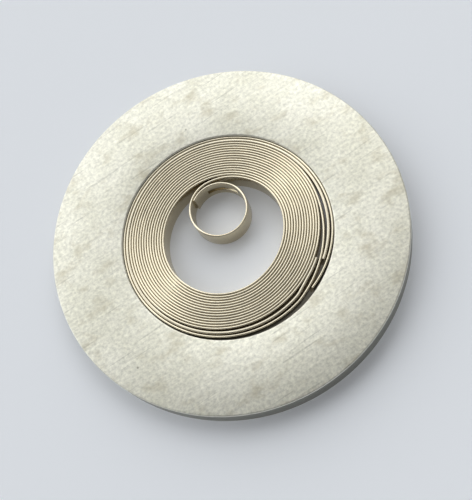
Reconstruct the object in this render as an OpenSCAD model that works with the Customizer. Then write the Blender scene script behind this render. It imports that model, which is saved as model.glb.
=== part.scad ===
// Watch mainspring, wound in the flat retaining ring that it is supplied in.
// The origin is the centre of the ring's underside, and +Z is up.
// Seen from above, the strip runs inward counter-clockwise.
// Angles are in degrees, counter-clockwise from +X, and each piece stands on z = 0.

/* [Retaining ring] */
// Outer diameter of the ring
ring_od = 17.8; // [14:0.1:24]
// Bore that keeps the spring wound
ring_bore = 10.53; // [10.4:0.01:12]
// Thickness of the ring
ring_t = 1.25; // [0.8:0.05:2]
// Rounding of the ring's edges
ring_edge = 0.12; // [0.02:0.01:0.3]

/* [Mainspring] */
// Thickness of the strip
strip_t = 0.115; // [0.08:0.001:0.13]
// Width of the strip, which stands on edge
strip_w = 1.18; // [0.8:0.01:1.6]
// Full turns of the pack, without the turn that lines the bore
pack_turns = 14; // [8:1:15]
// Play between turns that lie against each other
play = 0.015; // [0.01:0.001:0.02]
// How much tighter the pack is bent beside the bridle's ends than where it is seated
squeeze = 0.506; // [0.48:0.001:0.54]
// Angle of the outer end of the strip
tail_angle = -34.3; // [-60:0.1:-23]
// How much tighter the free tail is bent than the bore
tail_curl = 0.33; // [0:0.01:0.4]
// Inside radius of the step where the strip leaves the bore
step_r = 1.2; // [0.6:0.1:2]

/* [Bridle] */
// Thickness of the bridle strip
bridle_t = 0.15; // [0.12:0.005:0.18]
// Angle from the strip's outer end to both ends of the bridle, which lie one turn apart
bridle_angle = 18.7; // [17:0.1:25]
// Inside radius of the bend in the bridle's inner end
bridle_bend_r = 1; // [0.5:0.1:1.5]

/* [Arbor coil] */
// Inside diameter of the coil that grips the arbor
coil_bore = 2.66; // [2:0.01:3]
// Room between the coil and the pack above it
coil_drop = 0.23; // [0.22:0.01:0.5]
// How far the coil's centre lies to the left of the ring's axis
coil_side = 0.48; // [0.3:0.01:0.52]
// Angle at which the coil's inner end stops
coil_end = 161; // [140:1:164]
// Height of the eye that hooks on the arbor
eye_h = 0.35; // [0.2:0.05:0.6]
// Angle that the eye spans
eye_span = 70; // [30:1:90]
// Angle of the middle of the eye
eye_angle = 90; // [60:1:110]

/* [Hidden] */
$fn = 120;

// Points along a bend lie at whole multiples of this angle, so that they line up from turn to turn
arc_step = 7.5;
// Points on each rounded edge of the ring
edge_steps = 6;
// Lengths that neighbouring solids share are rounded to this
grain = 0.0001;

function dir(angle) = [cos(angle), sin(angle)];
function snap(length) = round(length / grain) * grain;
// The two amounts x and y with which x * u + y * v is w
function shares(u, v, w) = [cross(w, v), cross(u, w)] / cross(u, v);

// Radii of the centrelines of the layers, from the bore inward
pitch = strip_t + play;
layer_step = (strip_t + bridle_t) / 2 + play;
lining_r = ring_bore / 2 - play - strip_t / 2;
bridle_r = lining_r - layer_step;
seat_r = bridle_r - layer_step;

// Each turn of the pack is four bends: beside the bridle's ends, in its seat, down its far side and across
// its flattened side. The seat shares the ring's centre, and the last two bends follow from the others.
// The centres stay the same from turn to turn, so the turns stay parallel.
// The bends start at these angles from the strip's outer end.
turn_after = [46.3, 96.3, 231.3, 345.3];
turn_from = [for (angle = turn_after) tail_angle + angle];
tuck = shares(
    dir(turn_from[2]) - dir(turn_from[0]),
    dir(turn_from[0]) - dir(turn_from[3]),
    squeeze * (dir(turn_from[1]) - dir(turn_from[0])) - pitch * dir(turn_from[0])
);
turn_r = [seat_r - squeeze, seat_r, seat_r - tuck[0], seat_r - tuck[0] + tuck[1]];
turn_c = [
    squeeze * dir(turn_from[1]),
    [0, 0],
    tuck[0] * dir(turn_from[2]),
    tuck[0] * dir(turn_from[2]) - tuck[1] * dir(turn_from[3])
];

// A bend is [centre, radius, first angle, last angle] of a stretch of centreline.
// The next bend starts where the last one ends, in the same direction.
function next_bend(last, radius, angle) =
    [last[0] + (last[1] - radius) * dir(last[3]), radius, last[3], angle];
function bend_from(i) = turn_from[i % 4] + 360 * (floor(i / 4) + 1);
function pack_bend(i) =
    [turn_c[i % 4], turn_r[i % 4] - pitch * floor(i / 4), bend_from(i), bend_from(i + 1)];

// Outer turn: a free tail, the lining of the bore, and a step inward past the bridle's end
tail_span = 54.3;
tail_meets = tail_angle + tail_span;
lining_span = 180;
lining_leaves = tail_meets + lining_span;
step_lead = 6.2;
step_turn = 6;
step_from = 360 + tail_angle - step_lead;
step_to = step_from + step_turn;
join_span = 15;
step_joins = bend_from(0) + join_span;
lining = [[0, 0], lining_r, tail_meets, lining_leaves];
tail = [tail_curl * dir(tail_meets), lining_r - tail_curl, tail_angle, tail_meets];
step_mid_r = step_r + strip_t / 2;
leave_and_join = shares(
    dir(step_from) - dir(lining_leaves),
    dir(step_joins) - dir(step_to),
    turn_c[0] + turn_r[0] * dir(step_joins) - lining_r * dir(lining_leaves)
        + step_mid_r * (dir(step_from) - dir(step_to))
);
leave = next_bend(lining, leave_and_join[0], step_from);
step = next_bend(leave, step_mid_r, step_to);
join = next_bend(step, leave_and_join[1], step_joins);
first_bend = [turn_c[0], turn_r[0], step_joins, bend_from(1)];

// Arbor coil: one round, from below its centre to its end, which lies inside the strip that comes in
inner_turn_r = seat_r - pitch * pack_turns;
coil_r = snap(coil_bore / 2 + strip_t / 2);
coil_c = [-coil_side, snap(inner_turn_r - strip_t - coil_drop - coil_r)];

// Lead: the strip leaves the pack and comes down round the coil's left side in two bends
lead_angle = 85;
lead_first = 35;
lead_second = 150;
lead_leaves = 360 * (pack_turns + 1) + lead_angle;
lead_mid = lead_leaves + lead_first;
lead_ends = lead_mid + lead_second;
coil_from = lead_angle + lead_first + lead_second;
lead_r = shares(
    dir(lead_mid) - dir(lead_leaves),
    dir(lead_ends) - dir(lead_mid),
    coil_c - inner_turn_r * dir(lead_leaves) + coil_r * dir(lead_ends)
);
inner_turn = [[0, 0], inner_turn_r, bend_from(4 * pack_turns + 1), lead_leaves];
lead_out = next_bend(inner_turn, lead_r[0], lead_mid);
lead_in = next_bend(lead_out, lead_r[1], lead_ends);

mainspring_bends = concat(
    [tail, lining, leave, step, join, first_bend],
    [for (i = [1 : 4 * pack_turns]) pack_bend(i)],
    [inner_turn, lead_out, lead_in]
);

// Bridle: it lines the outer turn, leaves it, bends in and lies flat on the pack
// Its outer end is bent in until it rests on the strip past the step
bridle_lag = 2;
bridle_turn = 13;
bridle_tail_span = 75;
bridle_end = tail_angle + bridle_angle;
bridle_meets = bridle_end + bridle_tail_span;
bridle_bend_from = step_from + bridle_lag;
bridle_bend_to = bridle_bend_from + bridle_turn;
bridle_bend_mid_r = bridle_bend_r + bridle_t / 2;
pack_top = pack_bend(3);
rest_r = pack_top[1] + layer_step;
bridle_lining = [[0, 0], bridle_r, bridle_meets, lining_leaves];
from_join = bridle_r * dir(bridle_end) - join[0];
curl_way = dir(bridle_meets) - dir(bridle_end);
curl_mean = -from_join * curl_way / (curl_way * curl_way);
curl_rest = (from_join * from_join - pow(join[1] + layer_step, 2)) / (curl_way * curl_way);
bridle_curl = curl_mean - sqrt(pow(curl_mean, 2) - curl_rest);
bridle_tail = [bridle_curl * dir(bridle_meets), bridle_r - bridle_curl, bridle_end, bridle_meets];
leave_and_flat = shares(
    dir(bridle_bend_from) - dir(lining_leaves),
    dir(bridle_bend_to + 90),
    pack_top[0] + rest_r * dir(bridle_bend_to) - bridle_r * dir(lining_leaves)
        + bridle_bend_mid_r * (dir(bridle_bend_from) - dir(bridle_bend_to))
);
bridle_leave = next_bend(bridle_lining, leave_and_flat[0], bridle_bend_from);
bridle_bend = next_bend(bridle_leave, bridle_bend_mid_r, bridle_bend_to);
// A bend with no span ends the one before it, and a straight stretch follows
bridle_flat = next_bend(bridle_bend, bridle_bend_mid_r, bridle_bend_to);
bridle_rest = [pack_top[0], rest_r, bridle_bend_to, bridle_end + 360];

bridle_bends = [bridle_tail, bridle_lining, bridle_leave, bridle_bend, bridle_flat, bridle_rest];

// Angles of the points of a bend: its first one, then each multiple of arc_step between its two ends,
// but none that lies within end_share of a step of either end
end_share = 0.1;
function steps_past(angle) = floor(angle / arc_step + end_share) + 1;
function steps_short(angle) = ceil(angle / arc_step - end_share) - 1;
function bend_angles(bend) =
    concat(bend[2], [for (i = [steps_past(bend[2]) : steps_short(bend[3])]) i * arc_step]);
// Points of a bend, moved outward by side
function bend_points(bend, side) =
    [for (angle = bend_angles(bend)) bend[0] + (bend[1] + side) * dir(angle)];
function side_points(bends, side) = [for (bend = bends) each bend_points(bend, side)];
function end_point(bend, side) = bend[0] + (bend[1] + side) * dir(bend[3]);
function backward(points) = [for (i = [len(points) - 1 : -1 : 0]) points[i]];

// Outline of a strip seen from above: its outer side, its end and its inner side
function strip_outline(bends, thickness, end_outer, end_inner) =
    concat(
        side_points(bends, thickness / 2),
        [end_outer, end_inner],
        backward(side_points(bends, -thickness / 2))
    );

// A quarter round of the ring's profile
function edge_round(centre, from) =
    [for (i = [0 : edge_steps]) centre + ring_edge * dir(from + 90 * i / edge_steps)];

// The coil, which grips the arbor, as a true round
module coil_wall() {
    translate([coil_c[0], coil_c[1], 0])
    rotate_extrude(angle = 360 + coil_end - coil_from, start = coil_from)
    translate([coil_r - strip_t / 2, 0])
    square([strip_t, strip_w]);
}

module eye() {
    translate([coil_c[0], coil_c[1], 0])
    rotate_extrude(angle = eye_span, start = eye_angle - eye_span / 2)
    translate([coil_r - strip_t, (strip_w - eye_h) / 2])
    square([2 * strip_t, eye_h]);
}

module retaining_ring() {
    inner = ring_bore / 2 + ring_edge;
    outer = ring_od / 2 - ring_edge;
    low = ring_edge;
    high = ring_t - ring_edge;
    color([0.82, 0.82, 0.78])
    rotate_extrude()
    polygon(concat(
        edge_round([inner, low], 180),
        edge_round([outer, low], 270),
        edge_round([outer, high], 0),
        edge_round([inner, high], 90)
    ));
}

module mainspring() {
    coil_low = [coil_c[0], coil_c[1] - coil_r];
    half = [0, strip_t / 2];
    color([0.66, 0.63, 0.56])
    union() {
        linear_extrude(strip_w)
        polygon(strip_outline(mainspring_bends, strip_t, coil_low - half, coil_low + half));
        difference() {
            coil_wall();
            eye();
        }
    }
}

module bridle() {
    color([0.7, 0.68, 0.62])
    linear_extrude(strip_w)
    polygon(strip_outline(
        bridle_bends,
        bridle_t,
        end_point(bridle_rest, bridle_t / 2),
        end_point(bridle_rest, -bridle_t / 2)
    ));
}

retaining_ring();
mainspring();
bridle();
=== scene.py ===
# %% [markdown]
# A watch mainspring, wound in its retaining ring.
# The object is three pieces of metal: a flat washer with a bore, a long steel strip that lies in
# the bore as a spiral, and a shorter, thicker strip, the bridle, near the spiral's outside.
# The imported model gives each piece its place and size. Here each one is made again as a smooth
# surface, because light on metal shows every facet.

# %% Load the frame
import math

import bpy
import numpy as np
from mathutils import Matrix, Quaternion, Vector


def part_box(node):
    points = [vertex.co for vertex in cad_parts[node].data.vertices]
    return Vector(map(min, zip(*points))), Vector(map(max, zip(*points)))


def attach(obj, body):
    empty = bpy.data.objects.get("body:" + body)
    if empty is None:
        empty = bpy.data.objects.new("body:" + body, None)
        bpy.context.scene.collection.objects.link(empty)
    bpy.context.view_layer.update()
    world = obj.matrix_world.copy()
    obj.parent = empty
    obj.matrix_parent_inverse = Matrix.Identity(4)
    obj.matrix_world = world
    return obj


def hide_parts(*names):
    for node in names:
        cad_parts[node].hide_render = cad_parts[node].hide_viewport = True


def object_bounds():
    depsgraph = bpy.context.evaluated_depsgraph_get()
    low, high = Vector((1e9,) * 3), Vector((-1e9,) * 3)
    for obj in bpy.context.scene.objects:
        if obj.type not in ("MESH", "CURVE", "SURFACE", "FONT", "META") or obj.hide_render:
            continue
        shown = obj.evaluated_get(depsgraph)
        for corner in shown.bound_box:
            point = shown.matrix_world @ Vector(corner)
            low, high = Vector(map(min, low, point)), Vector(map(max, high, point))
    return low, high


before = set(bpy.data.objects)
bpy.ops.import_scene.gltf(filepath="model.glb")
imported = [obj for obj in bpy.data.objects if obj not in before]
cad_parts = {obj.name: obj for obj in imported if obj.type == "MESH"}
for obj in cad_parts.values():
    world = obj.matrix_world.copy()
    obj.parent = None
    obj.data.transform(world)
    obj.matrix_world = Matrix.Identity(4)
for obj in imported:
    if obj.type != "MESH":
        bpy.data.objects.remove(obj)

MM = 0.001
cad_low, cad_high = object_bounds()
print("frame box, mm:", [round(side / MM, 3) for side in cad_high - cad_low])

# %% [markdown]
# The camera comes first, because every later choice is judged through it. A photograph gives a
# camera's place if it shows something round: the ring's two edges are circles, and the shape of
# their ellipses fixes the tilt, the distance and the lens. The place is written as a direction and
# a distance, because that is how one would walk round the object to find it.

# %% Camera
def way_to(azimuth, elevation):
    """Unit vector at an azimuth, from +X towards +Y, and an elevation above the floor, in degrees.

    X and Y are the azimuth's cosine and sine times the elevation's cosine, and Z is the
    elevation's sine."""
    turn, rise = math.radians(azimuth), math.radians(elevation)
    reach = math.cos(rise)
    return Vector((math.cos(turn) * reach, math.sin(turn) * reach, math.sin(rise)))


ring_top = cad_high.z
camera_way = way_to(-55.9, 67.22)
camera_distance = 51.42 * MM
camera_aim = Vector((0.54 * MM, -0.80 * MM, ring_top))
camera_roll = math.radians(-31.97)

camera_data = bpy.data.cameras.new("camera")
camera_data.sensor_width = 36
camera_data.lens = 76.03
camera_data.clip_start = 1 * MM
camera_data.clip_end = 10
camera = bpy.data.objects.new("camera", camera_data)
camera.location = Vector((0, 0, ring_top)) + camera_distance * camera_way
camera.rotation_mode = "QUATERNION"
camera_look = (camera_aim - camera.location).to_track_quat("-Z", "Y")
camera.rotation_quaternion = camera_look @ Quaternion((0, 0, 1), camera_roll)
bpy.context.scene.collection.objects.link(camera)
bpy.context.scene.camera = camera
bpy.context.scene.view_settings.view_transform = "Standard"
print("camera at, mm:", [round(x / MM, 2) for x in camera.location])

# %% [markdown]
# A wound strip is drawn most simply as a chain of bends, the way a spring maker thinks of it: each
# bend is an arc with a centre, a radius, a first angle and a last angle, and the next bend goes on
# in the same direction. Where a bend's centre and radius are known, the normal at each point is
# known too, so a thickness can be added on both sides without any error.

# %% Chain of bends
def toward(degrees):
    """Unit vectors in the XY plane at these angles, counter-clockwise from +X: cosine and sine."""
    turn = np.radians(degrees)
    return np.stack([np.cos(turn), np.sin(turn)], axis=-1)


def next_bend(last, radius, angle):
    """The bend that goes on from the last one, up to an angle.

    Its centre lies on the last one's end normal, moved along it by the difference of the radii."""
    centre, last_radius, _, start = last
    return (centre + (last_radius - radius) * toward(start), radius, start, angle)


def shares(u, v, w):
    """The two amounts x and y with which x * u + y * v is w."""
    return np.linalg.solve(np.stack([u, v], axis=1), w)


print("unit vectors at 0 and 90 degrees:", toward([0, 90]).round(3).tolist())

# %% [markdown]
# The layers are counted from the bore inward: one turn of the spring lines the bore, the bridle
# lines that turn, and the pack of turns is seated in the bridle. Each layer's radius follows from
# the thicknesses and from a small play.

# %% Sizes of the layers, in millimetres
ring_bore = 10.53
strip_t = 0.115
strip_w = (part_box("mainspring")[1].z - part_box("mainspring")[0].z) / MM
bridle_t = 0.15
play = 0.015

pitch = strip_t + play
layer_step = (strip_t + bridle_t) / 2 + play
lining_r = ring_bore / 2 - play - strip_t / 2
bridle_r = lining_r - layer_step
seat_r = bridle_r - layer_step
print("strip width, mm:", round(strip_w, 3))
print("radii of lining, bridle and seat, mm:", np.round([lining_r, bridle_r, seat_r], 4))

# %% [markdown]
# The pack isn't round: the bridle's two ends lean on it and flatten one side. Four bends draw a
# turn: beside those ends, in the seat, down the far side and across the flat. A turn has to end one
# pitch further in than it began, in the same direction, and that gives the last two radii. The
# centres stay where they are and each radius shrinks by one pitch a turn, so the turns stay
# parallel.

# %% Pack of turns
pack_turns = 14
squeeze = 0.506
tail_angle = -34.3
turn_after = np.array([46.3, 96.3, 231.3, 345.3])

turn_from = tail_angle + turn_after
turn_ways = toward(turn_from)
tuck_far, tuck_flat = shares(
    turn_ways[2] - turn_ways[0],
    turn_ways[0] - turn_ways[3],
    squeeze * (turn_ways[1] - turn_ways[0]) - pitch * turn_ways[0],
)
turn_r = seat_r - np.array([squeeze, 0, tuck_far, tuck_far - tuck_flat])
turn_c = np.array([
    squeeze * turn_ways[1],
    (0, 0),
    tuck_far * turn_ways[2],
    tuck_far * turn_ways[2] - tuck_flat * turn_ways[3],
])


def bend_from(i):
    """Angle at which bend number i of the pack starts; a turn has four bends."""
    return turn_from[i % 4] + 360 * (i // 4 + 1)


def pack_bend(i):
    """Bend number i of the pack from its outer end, a pitch tighter for each turn before it."""
    return (turn_c[i % 4], turn_r[i % 4] - pitch * (i // 4), bend_from(i), bend_from(i + 1))


print("radii of a turn's four bends, mm:", turn_r.round(3))

# %% [markdown]
# At its outer end the strip has a free tail, lines the bore, and then steps inward past the
# bridle's end. The two bends beside the step have radii that nobody would guess: they follow from
# the two circles that the strip has to join, as two equations with two unknowns.

# %% Outer turn of the spring
tail_curl = 0.33
tail_span = 54.3
lining_span = 180
step_lead = 6.2
step_turn = 6
join_span = 15
step_r = 1.2

tail_meets = tail_angle + tail_span
lining_leaves = tail_meets + lining_span
step_from = 360 + tail_angle - step_lead
step_to = step_from + step_turn
step_joins = bend_from(0) + join_span
step_mid_r = step_r + strip_t / 2

tail = (tail_curl * toward(tail_meets), lining_r - tail_curl, tail_angle, tail_meets)
lining = (np.zeros(2), lining_r, tail_meets, lining_leaves)
leave_r, join_r = shares(
    toward(step_from) - toward(lining_leaves),
    toward(step_joins) - toward(step_to),
    turn_c[0] + turn_r[0] * toward(step_joins) - lining_r * toward(lining_leaves)
    + step_mid_r * (toward(step_from) - toward(step_to)),
)
leave = next_bend(lining, leave_r, step_from)
step = next_bend(leave, step_mid_r, step_to)
join = next_bend(step, join_r, step_joins)
first_bend = (turn_c[0], turn_r[0], step_joins, bend_from(1))
print("bends beside the step, mm:", round(leave_r, 3), round(join_r, 3))

# %% [markdown]
# At its inner end the strip leaves the pack, comes down round the left side of the arbor coil in
# two bends, and closes as one round. The coil's end lies inside the strip that comes in. The two
# bends' radii follow, as beside the step, from the two circles that they join.

# %% Lead to the arbor coil
coil_bore = 2.66
coil_side = 0.48
coil_drop = 0.23
lead_angle, lead_first, lead_second = 85, 35, 150

inner_turn_r = seat_r - pitch * pack_turns
coil_r = coil_bore / 2 + strip_t / 2
coil_c = np.array([-coil_side, inner_turn_r - strip_t - coil_drop - coil_r])
lead_leaves = 360 * (pack_turns + 1) + lead_angle
lead_mid = lead_leaves + lead_first
lead_ends = lead_mid + lead_second
lead_out_r, lead_in_r = shares(
    toward(lead_mid) - toward(lead_leaves),
    toward(lead_ends) - toward(lead_mid),
    coil_c - inner_turn_r * toward(lead_leaves) + coil_r * toward(lead_ends),
)
inner_turn = (np.zeros(2), inner_turn_r, bend_from(4 * pack_turns + 1), lead_leaves)
lead_out = next_bend(inner_turn, lead_out_r, lead_mid)
lead_in = next_bend(lead_out, lead_in_r, lead_ends)
print("coil centre, mm:", coil_c.round(3), "lead radii, mm:", np.round([lead_out_r, lead_in_r], 3))

# %% [markdown]
# The round of the coil is cut into three bends, because the eye, a slot that hooks on the arbor,
# starts and stops there. With that the chain of the whole spring is complete.

# %% Arbor coil
coil_end = 161
eye_angle, eye_span, eye_h = 90, 70, 0.35

coil_turn = 360 * (lead_ends // 360 + 1)
eye_from = coil_turn + eye_angle - eye_span / 2
coil_before_eye = next_bend(lead_in, coil_r, eye_from)
coil_at_eye = next_bend(coil_before_eye, coil_r, eye_from + eye_span)
coil_last = next_bend(coil_at_eye, coil_r, coil_turn + coil_end)

spring_bends = [tail, lining, leave, step, join, first_bend]
spring_bends += [pack_bend(i) for i in range(1, 4 * pack_turns + 1)]
spring_bends += [inner_turn, lead_out, lead_in, coil_before_eye, coil_at_eye, coil_last]
print("bends in the spring:", len(spring_bends))

# %% [markdown]
# The bridle lines the outer turn. Its outer end springs in until it rests on the strip past the
# step. How far it is curled in follows from that: the end's distance from the centre of the strip's
# bend is known, which is a quadratic equation in the curl.

# %% Outer end of the bridle
bridle_angle = 18.7
bridle_tail_span = 75

bridle_end = tail_angle + bridle_angle
bridle_meets = bridle_end + bridle_tail_span
from_join = bridle_r * toward(bridle_end) - join[0]
curl_way = toward(bridle_meets) - toward(bridle_end)
curl_mean = -from_join @ curl_way / (curl_way @ curl_way)
curl_rest = (from_join @ from_join - (join_r + layer_step) ** 2) / (curl_way @ curl_way)
bridle_curl = curl_mean - math.sqrt(curl_mean ** 2 - curl_rest)
bridle_tail = (bridle_curl * toward(bridle_meets), bridle_r - bridle_curl, bridle_end, bridle_meets)
bridle_lining = (np.zeros(2), bridle_r, bridle_meets, lining_leaves)
print("bridle's curl, mm:", round(bridle_curl, 3))

# %% [markdown]
# After its lining stretch the bridle leaves the outer turn, bends in sharply and lies on the pack.
# Between the bend and the place where it lies there is a straight stretch: a bend that spans no
# angle marks its start. The stretch's length and the radius before the bend are again two unknowns.

# %% Inner end of the bridle
bridle_lag = 2
bridle_turn = 13
bridle_bend_r = 1

bridle_bend_from = step_from + bridle_lag
bridle_bend_to = bridle_bend_from + bridle_turn
bridle_bend_mid_r = bridle_bend_r + bridle_t / 2
pack_top_c, pack_top_r, _, _ = pack_bend(3)
rest_r = pack_top_r + layer_step
bridle_leave_r, flat_length = shares(
    toward(bridle_bend_from) - toward(lining_leaves),
    toward(bridle_bend_to + 90),
    pack_top_c + rest_r * toward(bridle_bend_to) - bridle_r * toward(lining_leaves)
    + bridle_bend_mid_r * (toward(bridle_bend_from) - toward(bridle_bend_to)),
)
bridle_leave = next_bend(bridle_lining, bridle_leave_r, bridle_bend_from)
bridle_bend = next_bend(bridle_leave, bridle_bend_mid_r, bridle_bend_to)
bridle_flat = next_bend(bridle_bend, bridle_bend_mid_r, bridle_bend_to)
bridle_rest = (pack_top_c, rest_r, bridle_bend_to, bridle_end + 360)
bridle_bends = [bridle_tail, bridle_lining, bridle_leave, bridle_bend, bridle_flat, bridle_rest]
print("bridle's straight stretch, mm:", round(flat_length, 3))

# %% [markdown]
# A line with normals is sampled from the bends. Three degrees a step keep the turns round in a
# close view. Short, sharp bends get at least a few points each.

# %% From bends to a line
sample_step = 3.0
fewest_samples = 4


def bend_samples(bend):
    """Angles along a bend, without its last: steps of sample_step, and at least fewest_samples."""
    _, _, first, last = bend
    if last == first:
        return np.array([first], dtype=float)
    count = max(fewest_samples, math.ceil((last - first) / sample_step))
    return np.linspace(first, last, count, endpoint=False)


def strip_line(bends):
    """Points, outward normals and lengths along a chain of bends, and each bend's first row.

    A point is the bend's centre plus its radius times the unit vector at the angle, and the
    normal is that unit vector. The length is the running sum of the points' distances."""
    angles = [bend_samples(bend) for bend in bends]
    angles[-1] = np.append(angles[-1], bends[-1][3])
    counts = [len(part) for part in angles]
    centres = np.repeat(np.array([bend[0] for bend in bends]), counts, axis=0)
    radii = np.repeat(np.array([bend[1] for bend in bends]), counts)
    normals = toward(np.concatenate(angles))
    points = centres + radii[:, None] * normals
    steps = np.linalg.norm(np.diff(points, axis=0), axis=1)
    starts = np.concatenate([[0], np.cumsum(counts)])
    return points, normals, np.concatenate([[0], np.cumsum(steps)]), starts


spring_line = strip_line(spring_bends)
bridle_line = strip_line(bridle_bends)
print("spring's length, mm:", round(spring_line[2][-1], 1))
print("bridle's length, mm:", round(bridle_line[2][-1], 1))

# %% [markdown]
# All three pieces have the same kind of section: a rectangle with rounded corners. It is written as
# one loop of points that goes up the outer side, over the top, down the inner side and back under.
# Extra heights add points on the two sides, where an opening needs a row of edges.

# %% Rounded section
corner_steps = 4


def rounded_section(inner, outer, low, high, edge, heights=()):
    """A rectangle with quarter-round corners of radius edge, as one loop of (offset, height).

    Each corner is its centre plus edge times a unit vector that turns by 90 degrees."""
    turn = np.linspace(0, 90, corner_steps + 1)
    sides = np.array(heights, dtype=float)
    corners = [(outer - edge, low + edge), (outer - edge, high - edge),
               (inner + edge, high - edge), (inner + edge, low + edge)]
    rounds = [corner + edge * toward(turn + 90 * k - 90) for k, corner in enumerate(corners)]
    rising = np.stack([np.full(len(sides), outer), sides], axis=1)
    falling = np.stack([np.full(len(sides), inner), sides[::-1]], axis=1)
    return np.concatenate([rounds[0], rising, rounds[1], rounds[2], falling, rounds[3]])


print("points in a plain section:", 4 * (corner_steps + 1))

# %% [markdown]
# A section that is carried along a line makes a grid: one row for each point of the line, one
# column for each point of the section. Neighbours in the grid make the faces, so the whole mesh
# comes from two index arrays. A strip also needs a face at each end.

# %% Section carried along a line
def carried_grid(points, normals, section):
    """Each point is the line's point plus the section's offset along the normal, at its height."""
    flat = points[:, None, :] + normals[:, None, :] * section[None, :, :1]
    height = np.broadcast_to(section[None, :, 1:], flat.shape[:2] + (1,))
    return np.concatenate([flat, height], axis=2)


def grid_faces(rows, columns, closed):
    """Quads between neighbouring rows and columns; columns always close, rows close on a ring."""
    i, j = np.meshgrid(np.arange(rows if closed else rows - 1), np.arange(columns), indexing="ij")
    here, ahead, over = i * columns, (i + 1) % rows * columns, (j + 1) % columns
    return np.stack([here + j, ahead + j, ahead + over, here + over], axis=2)


def end_faces(rows, columns):
    """The first row of points as one face, and the last row turned round: both point outwards."""
    last = rows * columns - 1
    return [list(range(columns)), list(range(last, last - columns, -1))]


print("faces of a grid of 3 rows and 4 columns:", grid_faces(3, 4, False).reshape(-1, 4).tolist())

# %% [markdown]
# The mesh is filled from those arrays. Each vertex also keeps two things that its finish needs,
# because rolling lines run along the strip and not along X or Y: its place on the strip (how far
# along it lies, its height and its offset, in millimetres), and the direction across the strip.

# %% Mesh from a grid
sharp_angle = math.radians(40)


def metal_piece(name, node, grid, normals, along, offsets, faces, ends):
    """A mesh object in metres from a grid in millimetres, smooth except at sharp edges."""
    rows, columns, _ = grid.shape
    mesh = bpy.data.meshes.new(name)
    mesh.from_pydata((grid.reshape(-1, 3) * MM).tolist(), [], faces.tolist() + ends)
    place = np.stack([np.broadcast_to(along[:, None], (rows, columns)), grid[:, :, 2],
                      np.broadcast_to(offsets[None, :], (rows, columns))], axis=2)
    across = np.zeros(grid.shape)
    across[:, :, :2] = normals[:, None, :]
    for stored, values in (("strip_place", place), ("strip_across", across)):
        mesh.attributes.new(stored, "FLOAT_VECTOR", "POINT")
        mesh.attributes[stored].data.foreach_set("vector", values.astype(np.float32).ravel())
    mesh.polygons.foreach_set("use_smooth", np.ones(len(mesh.polygons), dtype=bool))
    mesh.set_sharp_from_angle(angle=sharp_angle)
    mesh.validate()
    piece = bpy.data.objects.new(name, mesh)
    bpy.context.scene.collection.objects.link(piece)
    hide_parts(node)
    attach(piece, "root")
    print(name, "has", len(mesh.polygons), "faces")
    return piece


print("edges stay sharp from, degrees:", round(math.degrees(sharp_angle)))

# %% [markdown]
# The ring is a stamped washer. Its edges are rounded by stamping and tumbling, and that rounding is
# what catches the light along the rim. The section's offsets are simply radii, carried round the
# axis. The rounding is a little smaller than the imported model's, because the bright line on the lip
# is narrow.

# %% Retaining ring
ring_od = (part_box("retaining_ring")[1].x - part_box("retaining_ring")[0].x) / MM
ring_t = (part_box("retaining_ring")[1].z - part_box("retaining_ring")[0].z) / MM
ring_edge = 0.08
ring_steps = 360

ring_section = rounded_section(ring_bore / 2, ring_od / 2, 0, ring_t, ring_edge)
ring_angles = np.linspace(0, 360, ring_steps, endpoint=False)
ring_ways = toward(ring_angles)
ring_grid = carried_grid(np.zeros((ring_steps, 2)), ring_ways, ring_section)
ring_faces = grid_faces(ring_steps, len(ring_section), True).reshape(-1, 4)
retaining_ring = metal_piece(
    "washer", "retaining_ring", ring_grid, ring_ways, ring_angles,
    ring_section[:, 0], ring_faces, [])

# %% [markdown]
# The eye is a window in the strip's grid. It could be cut with a Boolean modifier, but the grid
# already has a row of edges on each of its four sides, so its faces are simply left out on both
# sides of the strip, and four walls join the two rims.

# %% Walls of the eye
def window_walls(columns, first_row, last_row, outer_low, inner_high):
    """Quads from the outer side's rim to the inner side's: sill, lintel and two jambs.

    The sill and the lintel join points of the same row; a jamb is one face across a row."""
    outer_high, inner_low = outer_low + 1, inner_high + 1
    here = np.arange(first_row, last_row) * columns
    ahead = here + columns
    sill = np.stack([here + outer_low, ahead + outer_low,
                     ahead + inner_low, here + inner_low], axis=1)
    lintel = np.stack([here + outer_high, here + inner_high,
                       ahead + inner_high, ahead + outer_high], axis=1)
    jamb = np.array([outer_low, inner_low, inner_high, outer_high])
    jambs = np.stack([first_row * columns + jamb, last_row * columns + jamb[::-1]])
    return np.concatenate([sill, lintel, jambs])


eye_low = (strip_w - eye_h) / 2
print("eye's sill and lintel, mm:", round(eye_low, 3), round(eye_low + eye_h, 3))

# %% [markdown]
# The spring's strip is rolled, so its long edges are rounded too. In the pack, those round edges
# make the grooves between the turns: without them the turns would close up to one flat face.

# %% Mainspring
strip_edge = 0.050

strip_section = rounded_section(
    -strip_t / 2, strip_t / 2, 0, strip_w, strip_edge, (eye_low, eye_low + eye_h))
strip_columns = len(strip_section)
points, normals, along, bend_starts = spring_line
spring_grid = carried_grid(points, normals, strip_section)
spring_quads = grid_faces(len(points), strip_columns, False)
eye_first, eye_last = bend_starts[-3], bend_starts[-2]
eye_outer = corner_steps + 1
eye_inner = eye_outer + 2 + 2 * (corner_steps + 1)
keep = np.ones(spring_quads.shape[:2], dtype=bool)
keep[eye_first:eye_last, [eye_outer, eye_inner]] = False
eye_walls = window_walls(strip_columns, eye_first, eye_last, eye_outer, eye_inner)
spring_faces = np.concatenate([spring_quads[keep], eye_walls])
mainspring = metal_piece(
    "spring_strip", "mainspring", spring_grid, normals, along,
    strip_section[:, 0], spring_faces, end_faces(len(points), strip_columns))

# %% [markdown]
# The bridle is the same kind of strip, a little thicker, with both ends cut square.

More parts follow.
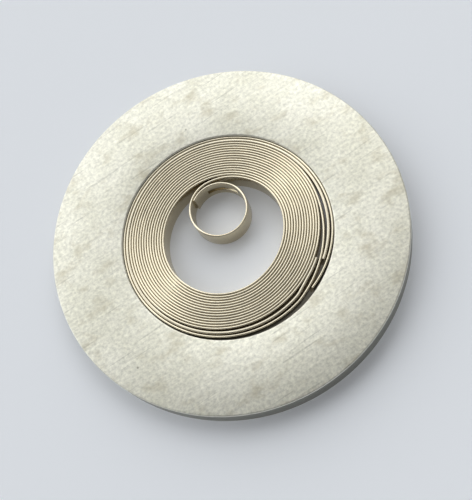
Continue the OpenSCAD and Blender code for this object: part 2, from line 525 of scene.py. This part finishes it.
# %% Bridle strip
bridle_section = rounded_section(-bridle_t / 2, bridle_t / 2, 0, strip_w, strip_edge)
bridle_columns = len(bridle_section)
points, normals, along, _ = bridle_line
bridle_grid = carried_grid(points, normals, bridle_section)
bridle_faces = grid_faces(len(points), bridle_columns, False).reshape(-1, 4)
bridle = metal_piece(
    "bridle_strip", "bridle", bridle_grid, normals, along,
    bridle_section[:, 0], bridle_faces, end_faces(len(points), bridle_columns))

# %% [markdown]
# Colours are written as they would be picked on a screen, and the shader needs them as amounts of
# light, so one function turns a hex value to linear. One more function adds a node, sets it and
# links it.

# %% Colour and node helpers
def linear(hex_colour):
    """sRGB hex to linear RGBA: below 0.04045 divided by 12.92, above it a power of 2.4."""
    value = np.array([int(hex_colour[k:k + 2], 16) for k in (1, 3, 5)]) / 255
    light = np.where(value <= 0.04045, value / 12.92, ((value + 0.055) / 1.055) ** 2.4)
    return (*light.tolist(), 1.0)


def add_node(tree, kind, inputs=None, **settings):
    """Adds a node, sets its properties, and gives each input a value or a link from a socket."""
    made = tree.nodes.new(kind)
    for key, value in settings.items():
        setattr(made, key, value)
    for key, value in (inputs or {}).items():
        if isinstance(value, bpy.types.NodeSocket):
            tree.links.new(value, made.inputs[key])
        else:
            made.inputs[key].default_value = value
    return made


def new_material(name):
    """An empty material with its tree, its shader and its output."""
    material = bpy.data.materials.new(name)
    material.use_nodes = True
    tree = material.node_tree
    tree.nodes.clear()
    shader = add_node(tree, "ShaderNodeBsdfPrincipled")
    add_node(tree, "ShaderNodeOutputMaterial", {"Surface": shader.outputs["BSDF"]})
    return material, tree, shader


# a Mix node has sockets for every type of data: these are its share, its two colours and its result
SHARE, UNDER, OVER, MIXED = 0, 6, 7, 2
print("middle grey as an amount of light:", round(linear("#808080")[0], 3))

# %% [markdown]
# The ring is aluminium sheet, stamped and tumbled. The eye sees a pale, dull face with a fine
# speckle, thin scratches that mostly run one way, cloudy patches, brownish stains and a few pits.
# Each pattern is a noise, and a Mapping node gives it its size in millimetres: in its Texture mode,
# Scale is simply the size of one patch, and Rotation is its direction. The finest speckle and
# scratches wouldn't show at this size, so they are drawn as coarse as they need to be.

# %% Where the patterns lie on the ring
aluminium, ring_tree, ring_shader = new_material("tumbled_aluminium")
on_ring = add_node(ring_tree, "ShaderNodeTexCoord")
# for each pattern: length and width of a patch in millimetres, direction in degrees, and detail
ring_patterns = {
    "speckle": (0.18, 0.16, 33, 5.0),
    "clouds": (2.2, 2.2, 0, 3.0),
    "stains": (1.3, 0.9, 30, 6.0),
    "scratches": (3.2, 0.09, 33, 2.0),
    "grooves": (2.6, 0.10, 36, 0.0),
    "pits": (1.25, 1.25, 0, 0.0),
}
ring_places = {
    name: add_node(ring_tree, "ShaderNodeMapping", {
        "Vector": on_ring.outputs["Object"], "Rotation": (0, 0, math.radians(turn)),
        "Scale": (length * MM, width * MM, length * MM)}, vector_type="TEXTURE").outputs["Vector"]
    for name, (length, width, turn, _) in ring_patterns.items()
}
ring_noises = {
    name: add_node(ring_tree, "ShaderNodeTexNoise", {
        "Vector": ring_places[name], "Scale": 1.0, "Detail": detail,
        "Roughness": 0.6}).outputs["Fac"]
    for name, (_, _, _, detail) in ring_patterns.items() if name != "pits"
}
pit_cells = add_node(ring_tree, "ShaderNodeTexVoronoi", {
    "Vector": ring_places["pits"], "Scale": 1.0})
pit_lot = add_node(ring_tree, "ShaderNodeSeparateXYZ", {"Vector": pit_cells.outputs["Color"]})
print("ring patterns:", list(ring_patterns))

# %% [markdown]
# A noise becomes a tone when its middle range is stretched to a range of brightness. The tones of
# speckle, scratches and grooves multiply, as layers of wear do. Stains and pits are shares, by
# which a darker colour is mixed over the face later. Only some cells of the pit pattern hold a pit:
# each cell's random colour is its lot.

# %% Tones of the ring
# a noise seldom leaves this range
noise_low, noise_high = 0.3, 0.7
# for each tone: its source, the source's range, and the range of the tone
ring_tones = {
    name: add_node(ring_tree, "ShaderNodeMapRange", {
        "Value": source, "From Min": low, "From Max": high,
        "To Min": start, "To Max": end}).outputs["Result"]
    for name, source, low, high, start, end in [
        ("speckle", ring_noises["speckle"], noise_low, noise_high, 0.74, 1.14),
        ("scratches", ring_noises["scratches"], noise_low, noise_high, 0.95, 1.04),
        ("grooves", ring_noises["grooves"], 0.75, 0.81, 1, 0.80),
        ("clouds", ring_noises["clouds"], 0.35, 0.65, 0, 1),
        ("stains", ring_noises["stains"], 0.52, 0.76, 0, 0.7),
        ("pit", pit_cells.outputs["Distance"], 0.03, 0.07, 0.8, 0),
        ("pit_here", pit_lot.outputs["X"], 0.70, 0.72, 0, 1),
        ("roughness", ring_noises["clouds"], noise_low, noise_high, 0.43, 0.38),
    ]
}
worn = add_node(ring_tree, "ShaderNodeMath", {
    0: ring_tones["speckle"], 1: ring_tones["scratches"]}, operation="MULTIPLY")
worn = add_node(ring_tree, "ShaderNodeMath", {
    0: worn.outputs["Value"], 1: ring_tones["grooves"]}, operation="MULTIPLY")
pits = add_node(ring_tree, "ShaderNodeMath", {
    0: ring_tones["pit"], 1: ring_tones["pit_here"]}, operation="MULTIPLY")
print("ring tones:", list(ring_tones))

# %% [markdown]
# The outer side and the bore are painted darker than the faces, as painted shade, and the rounded
# edges are painted brighter, as a painted highlight along the rim. Both are told apart from the faces
# by their height, which is stored on each vertex: what counts is how deep below a face they lie.

# %% Painted shade on the ring's sides and painted highlight on its edges
ring_stored = add_node(ring_tree, "ShaderNodeAttribute", attribute_name="strip_place")
ring_height = add_node(ring_tree, "ShaderNodeSeparateXYZ", {
    "Vector": ring_stored.outputs["Vector"]})
above_middle = add_node(ring_tree, "ShaderNodeMath", {
    0: ring_height.outputs["Y"], 1: ring_t / 2}, operation="SUBTRACT")
from_middle = add_node(ring_tree, "ShaderNodeMath", {
    0: above_middle.outputs["Value"]}, operation="ABSOLUTE")
# for each: the depths in millimetres where it is full and where it is gone, and its full share
ring_painted_light = {
    name: add_node(ring_tree, "ShaderNodeMapRange", {
        "Value": from_middle.outputs["Value"],
        "From Min": ring_t / 2 - full, "From Max": ring_t / 2 - gone,
        "To Min": share, "To Max": 0.0}).outputs["Result"]
    # the first is a painted highlight on the rounded edges, the second painted shade on the sides
    for name, full, gone, share in [("painted_edge_highlight", 0.04, 0.002, 0.7), ("painted_side_shade", 0.09, 0.06, 1.0)]
}
print("sides and edges of the ring:", list(ring_painted_light))

# %% [markdown]
# The colour is built up in layers: bright metal with clouds in it, worn, then stained and pitted,
# and last a painted highlight on the rounded edges and painted shade on the sides. Bump gives the
# speckle, scratches and pits a little relief. Bare aluminium would be fully metallic. This one has
# a matte skin of oxide that scatters some light to every side, so Metallic stays below 1, and the
# face is less dark where it mirrors the dim part of the sky.

# %% Tumbled aluminium
sheet = add_node(ring_tree, "ShaderNodeMix", {
    SHARE: ring_tones["clouds"], UNDER: linear("#E3E1D0"), OVER: linear("#ECEADB")},
    data_type="RGBA")
worn_sheet = add_node(ring_tree, "ShaderNodeVectorMath", {
    0: sheet.outputs[MIXED], "Scale": worn.outputs["Value"]}, operation="SCALE")
sheet_colour = worn_sheet.outputs["Vector"]
for share, colour in [
    (ring_tones["stains"], "#B0A78C"),
    (pits.outputs["Value"], "#6B6452"),
    # painted highlight on the rounded edges
    (ring_painted_light["painted_edge_highlight"], "#F5F4EB"),
    # painted shade on the outer side and the bore
    (ring_painted_light["painted_side_shade"], "#8E8D84"),
]:
    sheet_colour = add_node(ring_tree, "ShaderNodeMix", {
        SHARE: share, UNDER: sheet_colour, OVER: linear(colour)}, data_type="RGBA").outputs[MIXED]
relief = add_node(ring_tree, "ShaderNodeMath", {
    0: ring_noises["speckle"], 1: ring_noises["scratches"]}, operation="ADD")
relief = add_node(ring_tree, "ShaderNodeMath", {
    0: relief.outputs["Value"], 1: pits.outputs["Value"]}, operation="SUBTRACT")
bump = add_node(ring_tree, "ShaderNodeBump", {
    "Height": relief.outputs["Value"], "Strength": 0.3, "Distance": 0.008 * MM})
ring_tree.links.new(sheet_colour, ring_shader.inputs["Base Color"])
ring_tree.links.new(ring_tones["roughness"], ring_shader.inputs["Roughness"])
ring_tree.links.new(bump.outputs["Normal"], ring_shader.inputs["Normal"])
ring_shader.inputs["Metallic"].default_value = 0.7
retaining_ring.data.materials.append(aluminium)
print("ring finish:", aluminium.name, len(ring_tree.nodes), "nodes")

# %% [markdown]
# The strips are spring steel, cold rolled, with a satin surface. Rolling leaves very fine lines
# along the strip, so the noise is stretched along the stored length. Such lines draw a highlight
# out across the strip: Anisotropic does that, and the stored direction is its Tangent. The steel is
# warmer than the ring. Its sides are painted darker than its edges: painted shade, which shows in
# the grooves between the turns.

# %% Rolled spring steel
# in millimetres; the real lines are finer, and are drawn as wide as they need to show
line_length, line_width = 1.6, 0.07
patches_per_mm = 0.7
# how deep below an edge, in millimetres, the edge's colour is full, and where the sides' painted
# shade has taken over
edge_full, edge_gone = 0.01, 0.07


def rolled_steel(name, edge_hex, side_shade_hex, roughness):
    """Steel with rolling lines along the strip, and painted shade on its sides, darker than its two
    edges.
    """
    material, tree, shader = new_material(name)
    place = add_node(tree, "ShaderNodeAttribute", attribute_name="strip_place")
    across = add_node(tree, "ShaderNodeAttribute", attribute_name="strip_across")
    along_strip = add_node(tree, "ShaderNodeMapping", {
        "Vector": place.outputs["Vector"], "Scale": (line_length, line_width, line_width)},
        vector_type="TEXTURE")
    lines = add_node(tree, "ShaderNodeTexNoise", {
        "Vector": along_strip.outputs["Vector"], "Scale": 1.0, "Detail": 4.0, "Roughness": 0.6})
    patches = add_node(tree, "ShaderNodeTexNoise", {
        "Vector": place.outputs["Vector"], "Scale": patches_per_mm, "Detail": 2.0})
    tones = {
        key: add_node(tree, "ShaderNodeMapRange", {
            "Value": noise.outputs["Fac"], "From Min": noise_low, "From Max": noise_high,
            "To Min": start, "To Max": end}).outputs["Result"]
        for key, noise, start, end in [
            ("lines", lines, 0.9, 1.07),
            ("patches", patches, 0.9, 1.06),
            ("roughness", lines, roughness - 0.05, roughness + 0.06),
        ]
    }
    tone = add_node(tree, "ShaderNodeMath", {
        0: tones["lines"], 1: tones["patches"]}, operation="MULTIPLY")
    height = add_node(tree, "ShaderNodeSeparateXYZ", {"Vector": place.outputs["Vector"]})
    above = add_node(tree, "ShaderNodeMath", {
        0: height.outputs["Y"], 1: strip_w / 2}, operation="SUBTRACT")
    apart = add_node(tree, "ShaderNodeMath", {0: above.outputs["Value"]}, operation="ABSOLUTE")
    # share of the edge's own colour; where it is low, the sides' painted shade colour shows
    edge = add_node(tree, "ShaderNodeMapRange", {
        "Value": apart.outputs["Value"],
        "From Min": strip_w / 2 - edge_gone, "From Max": strip_w / 2 - edge_full})
    body = add_node(tree, "ShaderNodeMix", {
        SHARE: edge.outputs["Result"], UNDER: linear(side_shade_hex), OVER: linear(edge_hex)},
        data_type="RGBA")
    toned = add_node(tree, "ShaderNodeVectorMath", {
        0: body.outputs[MIXED], "Scale": tone.outputs["Value"]}, operation="SCALE")
    tree.links.new(toned.outputs["Vector"], shader.inputs["Base Color"])
    tree.links.new(tones["roughness"], shader.inputs["Roughness"])
    tree.links.new(across.outputs["Vector"], shader.inputs["Tangent"])
    shader.inputs["Anisotropic"].default_value = 0.35
    shader.inputs["Metallic"].default_value = 1.0
    return material


# the second colour of each strip is its sides' painted shade
mainspring.data.materials.append(rolled_steel("rolled_spring_steel", "#E4DAC1", "#D0C4A8", 0.21))
bridle.data.materials.append(rolled_steel("rolled_bridle_steel", "#D9D0B9", "#C6BA9F", 0.22))
print("strip finishes:", mainspring.active_material.name, bridle.active_material.name)

# %% [markdown]
# The object lies on a plain pale floor, just under its underside. The floor's paint gives off a
# little light of its own, but only to rays that come straight from the camera, or from metal or
# glass. So the background is pale without any more light on the object, and the object's soft
# shadow stays.

# %% Floor
half_floor = 1.5
floor_drop = 0.005 * MM
floor_hex = "#EDF0F4"
floor_lift = 0.10

floor_mesh = bpy.data.meshes.new("floor")
floor_corners = half_floor * np.array([(-1, -1, 0), (1, -1, 0), (1, 1, 0), (-1, 1, 0)])
floor_corners[:, 2] = -floor_drop
floor_mesh.from_pydata(floor_corners.tolist(), [], [(0, 1, 2, 3)])
floor = bpy.data.objects.new("floor", floor_mesh)
bpy.context.scene.collection.objects.link(floor)
floor_paint, floor_tree, floor_shader = new_material("pale_floor")
ray = add_node(floor_tree, "ShaderNodeLightPath")
seen = ray.outputs["Is Camera Ray"]
for kind in ("Is Glossy Ray", "Is Transmission Ray"):
    seen = add_node(floor_tree, "ShaderNodeMath", {
        0: seen, 1: ray.outputs[kind]}, operation="MAXIMUM").outputs["Value"]
lift = add_node(floor_tree, "ShaderNodeMath", {0: seen, 1: floor_lift}, operation="MULTIPLY")
floor_tree.links.new(lift.outputs["Value"], floor_shader.inputs["Emission Strength"])
floor_shader.inputs["Emission Color"].default_value = linear(floor_hex)
floor_shader.inputs["Base Color"].default_value = linear(floor_hex)
floor_shader.inputs["Roughness"].default_value = 0.9
floor_mesh.materials.append(floor_paint)
print("floor, m:", 2 * half_floor)

# %% [markdown]
# One soft lamp stands high on the far side, a little to the right. It is more than half as wide as
# it is far away, and that gives the shadow its soft rim.

# %% Lamp
lamp_way = way_to(72, 55)
lamp_distance, lamp_size, lamp_watts = 0.40, 0.25, 0.20

lamp_data = bpy.data.lights.new("window_lamp", "AREA")
lamp_data.size = lamp_size
lamp_data.energy = lamp_watts
lamp = bpy.data.objects.new("window_lamp", lamp_data)
lamp.location = lamp_distance * lamp_way
lamp.rotation_mode = "QUATERNION"
lamp.rotation_quaternion = (-lamp_way).to_track_quat("-Z", "Y")
bpy.context.scene.collection.objects.link(lamp)
print("lamp at, mm:", [round(x / MM) for x in lamp.location])

# %% [markdown]
# Metal shows what is around it, so the sky does most of the work. It is bright on the side of a
# window, at the far left, and dim on the other, and its level depends on the angle to the window's
# direction. The strips that run towards the window then shine on both flanks, and those that lie
# across it have a bright flank and a dark one. A pale band along the horizon keeps low views from
# ending in the dark.

# %% Sky
window_way = way_to(138, 0)
window_begins, window_full = 0.22, 0.42
sky_dim, sky_bright = 0.20, 1.75
horizon_full, horizon_gone, horizon_level = 0.08, 0.30, 0.60

sky = bpy.data.worlds.new("sky")
sky.use_nodes = True
sky_tree = sky.node_tree
look = add_node(sky_tree, "ShaderNodeTexCoord")
look_up = add_node(sky_tree, "ShaderNodeSeparateXYZ", {"Vector": look.outputs["Generated"]})
toward_window = add_node(sky_tree, "ShaderNodeVectorMath", {
    0: look.outputs["Generated"], 1: window_way}, operation="DOT_PRODUCT")
window = add_node(sky_tree, "ShaderNodeMapRange", {
    "Value": toward_window.outputs["Value"], "From Min": window_begins, "From Max": window_full,
    "To Min": sky_dim, "To Max": sky_bright})
horizon = add_node(sky_tree, "ShaderNodeMapRange", {
    "Value": look_up.outputs["Z"], "From Min": horizon_full, "From Max": horizon_gone,
    "To Min": horizon_level, "To Max": 0.0})
sky_level = add_node(sky_tree, "ShaderNodeMath", {
    0: window.outputs["Result"], 1: horizon.outputs["Result"]}, operation="MAXIMUM")
background = sky_tree.nodes["Background"]
background.inputs["Color"].default_value = linear("#F4F6F8")
sky_tree.links.new(sky_level.outputs["Value"], background.inputs["Strength"])
bpy.context.scene.world = sky
print("sky:", len(sky_tree.nodes), "nodes")
